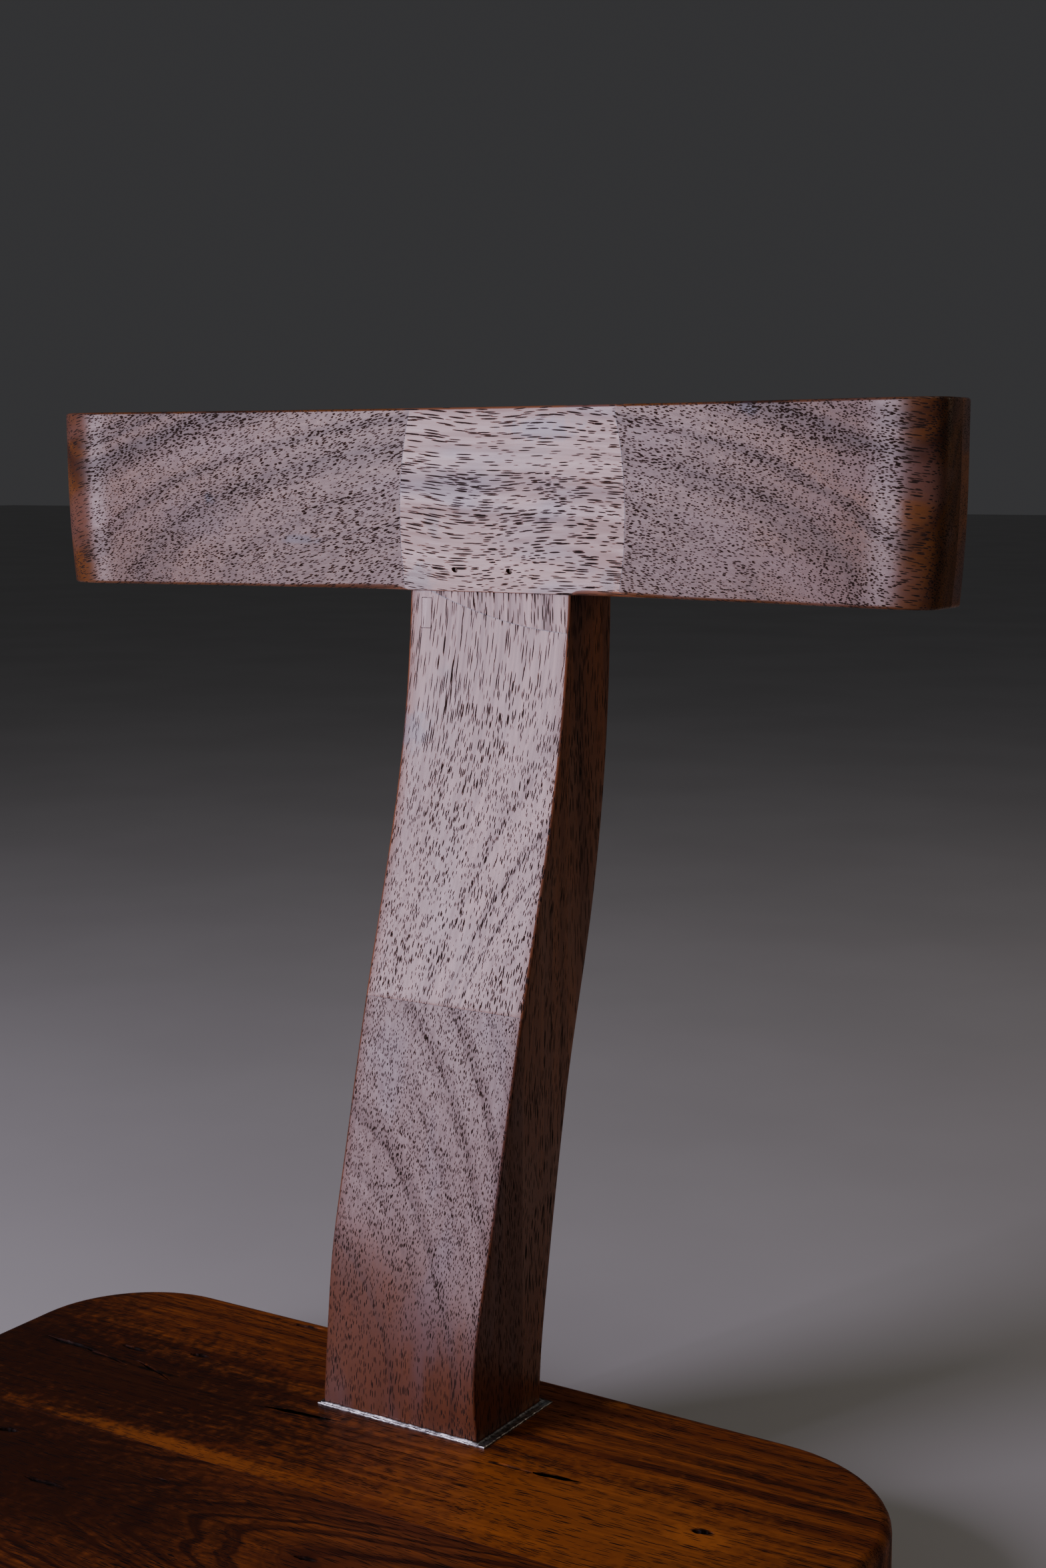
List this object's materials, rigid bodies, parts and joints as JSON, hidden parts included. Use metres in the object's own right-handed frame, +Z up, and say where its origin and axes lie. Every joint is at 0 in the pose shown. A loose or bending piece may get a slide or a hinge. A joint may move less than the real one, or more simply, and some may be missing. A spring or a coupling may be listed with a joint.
{
  "type": "headrest",
  "caption": "T-shaped wooden headrest: a curved crest rail on a leaning laminated post that stands in a metal-lined socket in a thick round-cornered board.",
  "frame": {"origin": "centre of the board's underside", "axes": "+Z up along the post, -Y towards the front, which is the hollow side of the crest, +X to the right of a viewer who faces the front"},
  "size_m": [0.484, 0.44, 0.503],
  "materials": {
    "crest_wood": "satin lacquer over open-pored brown hardwood",
    "post_wood": "satin lacquer over open-pored brown hardwood",
    "board_wood": "satin oil over golden brown streaked hardwood",
    "liner_metal": "bright, creased by hand",
    "brad_steel": "dull"
  },
  "bodies": {
    "base": {"board_rear_plank": "board_wood", "board_middle_plank": "board_wood", "board_front_plank": "board_wood", "socket_liner": "liner_metal"},
    "headrest": {"post_front_ply": "post_wood", "post_middle_ply": "post_wood", "post_rear_ply": "post_wood", "post_patch": "post_wood", "crest_back_ply": "crest_wood", "crest_left_wing": "crest_wood", "crest_right_wing": "crest_wood", "crest_tenon": "crest_wood", "tenon_brads": "brad_steel"}
  },
  "joints": [
    {"name": "post_lift", "type": "slide", "parent": "base", "child": "headrest", "axis": [0, 0, 1], "range_m": [0, 0.04]}
  ]
}
